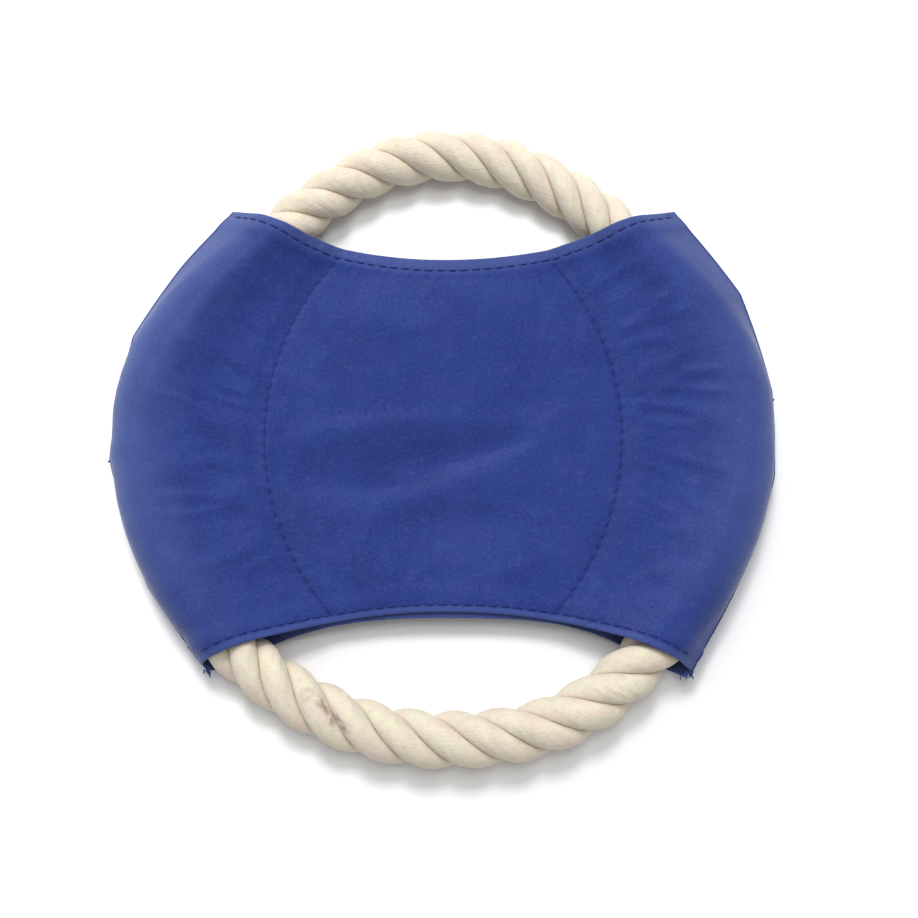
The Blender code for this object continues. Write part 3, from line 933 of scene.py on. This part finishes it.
def add_frays(look):
    """Frayed ends of the cover's cloth where hems meet the outer seams, and where that seam turns."""
    for i, (name, (place, way, count, length, apart)) in enumerate(FRAYS.items()):
        rng = np.random.default_rng(71 + i)
        roots = np.array(place) + rng.normal(0, apart, (count, 3)) * FRAY_FLATTENED
        ways = unit(np.array(way) + rng.normal(0, FRAY_SPREAD, (count, 3)))
        bends = rng.normal(0, FRAY_BEND, (count, 3))
        share = np.linspace(0, 1, 6)[:, None]
        lengths = (length * rng.uniform(0.5, 1, count))[:, None, None]
        paths = roots[:, None] + lengths * (ways[:, None] * share + bends[:, None] * share**2)
        paths[..., 2] = np.maximum(paths[..., 2], LOWEST_FRAY)
        radii = rng.uniform(*FRAY_RADIUS, (count, 1)) * (1 - FRAY_THINNING * share.T)
        points, faces = tubes(paths, radii, 6)
        add_object(f"fray_{name}", mesh_of(f"fray_{name}", points, faces), "cover", look)


class Look:
    """A material on the Principled shader, with short ways to add nodes."""

    def __init__(self, name, **inputs):
        self.material = bpy.data.materials.new(name)
        self.material.use_nodes = True
        self.tree = self.material.node_tree
        self.shader = self.tree.nodes["Principled BSDF"]
        self.set(self.shader, inputs)

    def set(self, node, inputs):
        """Links a socket or sets a value for each input. i0 is the first one, and _ is a space in a name."""
        for name, value in inputs.items():
            numbered = name[0] == "i" and name[1:].isdigit()
            socket = node.inputs[int(name[1:]) if numbered else name.replace("_", " ")]
            if isinstance(value, bpy.types.NodeSocket):
                self.tree.links.new(value, socket)
            else:
                socket.default_value = value

    def node(self, kind, settings=None, **inputs):
        made = self.tree.nodes.new(kind)
        for name, value in (settings or {}).items():
            setattr(made, name, value)
        self.set(made, inputs)
        return made

    def finished(self, **inputs):
        """The material, with the shader's last inputs."""
        self.set(self.shader, inputs)
        return self.material

    def math(self, operation, first, second=0.5):
        return self.node("ShaderNodeMath", {"operation": operation}, i0=first, i1=second).outputs[0]

    def noise(self, place, size, detail=3.0, roughness=0.55):
        """Noise from 0 to 1, with bumps about one size across, in millimetres."""
        made = self.node("ShaderNodeTexNoise", Vector=place, Scale=1 / (size * MM))
        self.set(made, {"Detail": detail, "Roughness": roughness})
        return made.outputs["Fac"]

    def ramp(self, value, low, high, out_low=0.0, out_high=1.0):
        """The value carried smoothly from low..high to out_low..out_high."""
        made = self.node("ShaderNodeMapRange", {"interpolation_type": "SMOOTHSTEP"}, Value=value)
        self.set(made, {"From_Min": low, "From_Max": high, "To_Min": out_low, "To_Max": out_high})
        return made.outputs[0]

    def mix(self, share, first, second):
        """A colour between two, each a socket or a value."""
        made = self.node("ShaderNodeMix", {"data_type": "RGBA"}, i0=share)
        for socket, value in zip((made.inputs[6], made.inputs[7]), (first, second)):
            if isinstance(value, bpy.types.NodeSocket):
                self.tree.links.new(value, socket)
            else:
                socket.default_value = (*value, 1)
        return made.outputs[2]

    def place(self):
        return self.node("ShaderNodeTexCoord").outputs["Object"]

    def bump(self, height, depth, strength=1.0, after=None):
        """Normals of a relief, a depth in millimetres, on top of those that come before."""
        made = self.node("ShaderNodeBump", Height=height, Distance=depth * MM, Strength=strength)
        if after:
            self.set(made, {"Normal": after})
        return made.outputs[0]


def bands(look, place, pitch, direction, distortion=0.0):
    """Ridges a pitch apart, in millimetres. A wave texture of scale 1 has one every 0.314."""
    settings = {"wave_type": "BANDS", "bands_direction": direction, "wave_profile": "SIN"}
    made = look.node("ShaderNodeTexWave", settings, Vector=place, Scale=math.pi / 10 / (pitch * MM))
    look.set(made, {"Distortion": distortion, "Detail": 2.0, "Detail_Scale": 2.0})
    return made.outputs["Fac"]


def cloth_look():
    """Plain-woven nylon: a tight weave with a soft sheen, mottled where yarns are thick and thin."""
    look = Look("cover_cloth", Roughness=0.55, Specular_IOR_Level=0.28)
    look.set(look.shader, {"Sheen_Weight": 0.25, "Sheen_Roughness": 0.32, "Sheen_Tint": (0.70, 0.80, 1.0, 1)})
    flat, place = look.node("ShaderNodeUVMap", {"uv_map": "flat"}).outputs[0], look.place()
    colour = look.mix(look.ramp(look.noise(place, 14, 4), 0.35, 0.68), CLOTH_DEEP, CLOTH_BLUE)
    colour = look.mix(look.ramp(look.noise(place, 8, 3), 0.50, 0.70, 0, 0.7), colour, CLOTH_VIOLET)
    colour = look.mix(look.ramp(look.noise(place, 5, 6, 0.75), 0.52, 0.74, 0, 0.55), colour, CLOTH_PALE)
    slubs = look.noise(flat, 0.9, 3, 0.7)
    colour = look.mix(look.ramp(slubs, 0.50, 0.78, 0, 0.75), colour, CLOTH_PALE)
    # Painted shade between the yarns, where the slubs are thin
    colour = look.mix(look.ramp(slubs, 0.50, 0.26, 0, 0.6), colour, SHADE_BETWEEN_YARNS)
    # Painted sheen: paler where the cloth is seen at a slant, and where the layer holds the painted sheen by
    # the outer edge and the painted hem highlights
    sheen = look.ramp(look.node("ShaderNodeLayerWeight", Blend=0.5).outputs["Facing"], 0.03, 0.55, 0, 0.09)
    layer = look.node("ShaderNodeUVMap", {"uv_map": "painted_light"}).outputs[0]
    painted_light, hole_shade = look.node("ShaderNodeSeparateXYZ", Vector=layer).outputs[:2]
    painted_light_share = look.math("MULTIPLY", painted_light, 0.34)
    colour = look.mix(look.math("ADD", sheen, painted_light_share), colour, CLOTH_PAINTED_SHEEN)
    # Painted shade in the needle holes
    colour = look.mix(look.math("MULTIPLY", hole_shade, 0.95), colour, CLOTH_HOLE_SHADE)
    look.set(look.shader, {"Base_Color": colour, "Roughness": look.ramp(slubs, 0.3, 0.7, 0.60, 0.50)})
    weave = look.math("MAXIMUM", bands(look, flat, 0.42, "X", 0.15), bands(look, flat, 0.42, "Y", 0.15))
    normal = look.bump(weave, 0.04, 0.35)
    normal = look.bump(slubs, 0.10, 0.8, normal)
    return look.finished(Normal=look.bump(look.noise(place, 2.6, 3), 0.16, 0.6, normal))


def thread_look(dark, light):
    """Polyester sewing thread, twisted."""
    look = Look("cover_thread", Roughness=0.45, Specular_IOR_Level=0.3)
    place = look.place()
    colour = look.mix(look.noise(place, 1.5), dark, light)
    return look.finished(Base_Color=colour, Normal=look.bump(look.noise(place, 0.15), 0.05, 0.5))


def rope_look():
    """Raw cotton: soft matt yarns, cream with painted shade, tan, in the lay's grooves and between yarns, and
    a few soiled places.
    """
    look = Look("rope_cotton", Roughness=0.92, Specular_IOR_Level=0.2)
    look.set(look.shader, {"Sheen_Weight": 0.25, "Sheen_Roughness": 0.6, "Sheen_Tint": (1.0, 0.96, 0.9, 1)})
    place, flat = look.place(), look.node("ShaderNodeUVMap", {"uv_map": "flat"}).outputs[0]
    split = look.node("ShaderNodeSeparateXYZ", Vector=flat)
    across, along = split.outputs[0], split.outputs[1]
    slanted = look.math("ADD", across, look.math("MULTIPLY", along, YARN_SLANT))
    drawn_out = look.math("MULTIPLY", along, 0.25)
    yarn_place = look.node("ShaderNodeCombineXYZ", X=slanted, Y=drawn_out).outputs[0]
    yarns = bands(look, yarn_place, 1.05, "X", 5.0)
    stretch = {"operation": "MULTIPLY"}
    fibre_place = look.node("ShaderNodeVectorMath", stretch, i0=yarn_place, i1=(1.0, 0.35, 1.0)).outputs[0]
    fibres = look.noise(fibre_place, 0.32, 4, 0.65)
    cream = look.mix(look.ramp(look.noise(place, 7, 3), 0.35, 0.65), COTTON_YELLOW, COTTON_PINK)
    cream = look.mix(look.ramp(look.noise(place, 3.2, 4), 0.52, 0.72), cream, COTTON_GREEN)
    # Painted shade in the grooves between yarns
    cream = look.mix(look.ramp(yarns, 0.45, 0.05, 0, 0.07), cream, YARN_GROOVE_SHADE)
    cream = look.mix(look.ramp(fibres, 0.52, 0.25, 0, 0.20), cream, FIBRE_SHADE)
    cream = look.mix(look.ramp(look.noise(place, 2.4, 6, 0.7), 0.45, 0.68, 0, 0.30), cream, HANDLED)
    # Painted shade in the lay's grooves, by the edges of each strand
    groove_shade_share = look.ramp(look.math("ABSOLUTE", across), 6.2 * MM, 7.9 * MM)
    colour = look.mix(look.math("MULTIPLY", groove_shade_share, 0.4), cream, STRAND_GROOVE_SHADE)
    blotch = look.ramp(look.noise(place, 2.0, 5), 0.28, 0.62)
    for centre, reach, darkness in STAINS:
        reach, centre = reach * MM, tuple(Vector(centre) * MM)
        away = look.node("ShaderNodeVectorMath", {"operation": "DISTANCE"}, i0=place, i1=centre)
        mark = look.ramp(away.outputs["Value"], reach, reach * SOLID_STAIN, 0, darkness)
        colour = look.mix(look.math("MULTIPLY", mark, blotch), colour, SOIL)
    normal = look.bump(yarns, 0.08, 0.35)
    normal = look.bump(fibres, 0.12, 0.8, normal)
    normal = look.bump(look.noise(place, 1.5, 3), 0.20, 0.6, normal)
    return look.finished(Base_Color=colour, Normal=normal)


def fuzz_look():
    """Loose cotton fibres, paler than the rope."""
    look = Look("rope_fuzz", Roughness=0.9, Specular_IOR_Level=0.1)
    colour = look.mix(look.noise(look.place(), 2.0), *FUZZ_COLOURS)
    return look.finished(Base_Color=colour)


def tape_look():
    """Woven whipping tape."""
    look = Look("whipping_tape", Roughness=0.75, Specular_IOR_Level=0.3)
    place = look.place()
    weave = look.math("MAXIMUM", bands(look, place, 0.5, "X"), bands(look, place, 0.5, "Y"))
    colour = look.mix(look.noise(place, 2.5, 4), *TAPE_COLOURS)
    return look.finished(Base_Color=colour, Normal=look.bump(weave, 0.06, 0.6))


def tube_look():
    """Dark shrink tube, scuffed."""
    look = Look("joining_tube", Roughness=0.42, Specular_IOR_Level=0.5)
    place = look.place()
    scuffs = look.noise(place, 1.2, 5, 0.7)
    colour = look.mix(scuffs, *TUBE_COLOURS)
    look.set(look.shader, {"Base_Color": colour, "Roughness": look.ramp(scuffs, 0.3, 0.7, 0.35, 0.6)})
    return look.finished(Normal=look.bump(look.noise(place, 4.0, 3), 0.2, 0.5))


def repaint(node, look):
    """Gives a node that keeps its shape a better material."""
    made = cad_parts[node]
    made.data.materials.clear()
    made.data.materials.append(look)


def add_studio():
    """A pale floor, soft light from all round and a broad light from the far side."""
    mesh = bpy.data.meshes.new("floor")
    corners = [(FLOOR_HALF * x, FLOOR_HALF * y, 0) for x, y in ((-1, -1), (1, -1), (1, 1), (-1, 1))]
    mesh.from_pydata(corners, [], [(0, 1, 2, 3)])
    floor = bpy.data.objects.new("floor", mesh)
    grey = (FLOOR_GREY, FLOOR_GREY, FLOOR_GREY, 1)
    look = Look("floor", Base_Color=grey, Roughness=0.9, Specular_IOR_Level=0.0)
    mesh.materials.append(look.material)
    lamps = [add_lamp(*lamp) for lamp in LAMPS]
    world = bpy.data.worlds.new("studio")
    world.use_nodes = True
    world.node_tree.nodes["Background"].inputs["Color"].default_value = SKY_COLOUR
    world.node_tree.nodes["Background"].inputs["Strength"].default_value = SKY
    scene = bpy.context.scene
    scene.world = world
    scene.view_settings.view_transform = "Standard"
    for made in (floor, *lamps):
        scene.collection.objects.link(made)


def add_lamp(name, place, size, power, glossy):
    """A square lamp that faces the ring."""
    light = bpy.data.lights.new(name, "AREA")
    light.shape = "SQUARE"
    light.size = size
    light.energy = power
    lamp = bpy.data.objects.new(name, light)
    lamp.location = place
    lamp.rotation_euler = Vector(place).to_track_quat("Z", "Y").to_euler()
    lamp.visible_glossy = glossy
    return lamp


def add_camera():
    camera = bpy.data.objects.new("camera", bpy.data.cameras.new("camera"))
    camera.data.sensor_width = 36
    camera.data.lens = LENS
    camera.data.clip_start = 0.01
    back = Vector((0, -math.cos(ELEVATION), math.sin(ELEVATION)))
    camera.location = CAMERA_AIM + CAMERA_DISTANCE * back
    camera.rotation_euler = back.to_track_quat("Z", "Y").to_euler()
    bpy.context.scene.collection.objects.link(camera)
    bpy.context.scene.camera = camera


def main():
    add_studio()
    add_camera()
    cloth, cotton, fuzz = cloth_look(), rope_look(), fuzz_look()
    seam_thread, hem_thread = thread_look(*SEAM_THREAD), thread_look(*HEM_THREAD)
    front, back = Panel("front"), Panel("back")
    for panel in (front, back):
        add_panel(panel, cloth)
    add_stitching(front, back, seam_thread, hem_thread)
    add_frays(cloth)
    for number, letter in enumerate("abc"):
        add_strand(letter, number, cotton)
    add_fuzz(fuzz)
    tape = tape_look()
    for node in ("end_whipping_a", "end_whipping_b"):
        repaint(node, tape)
    repaint("joining_sleeve", tube_look())


main()
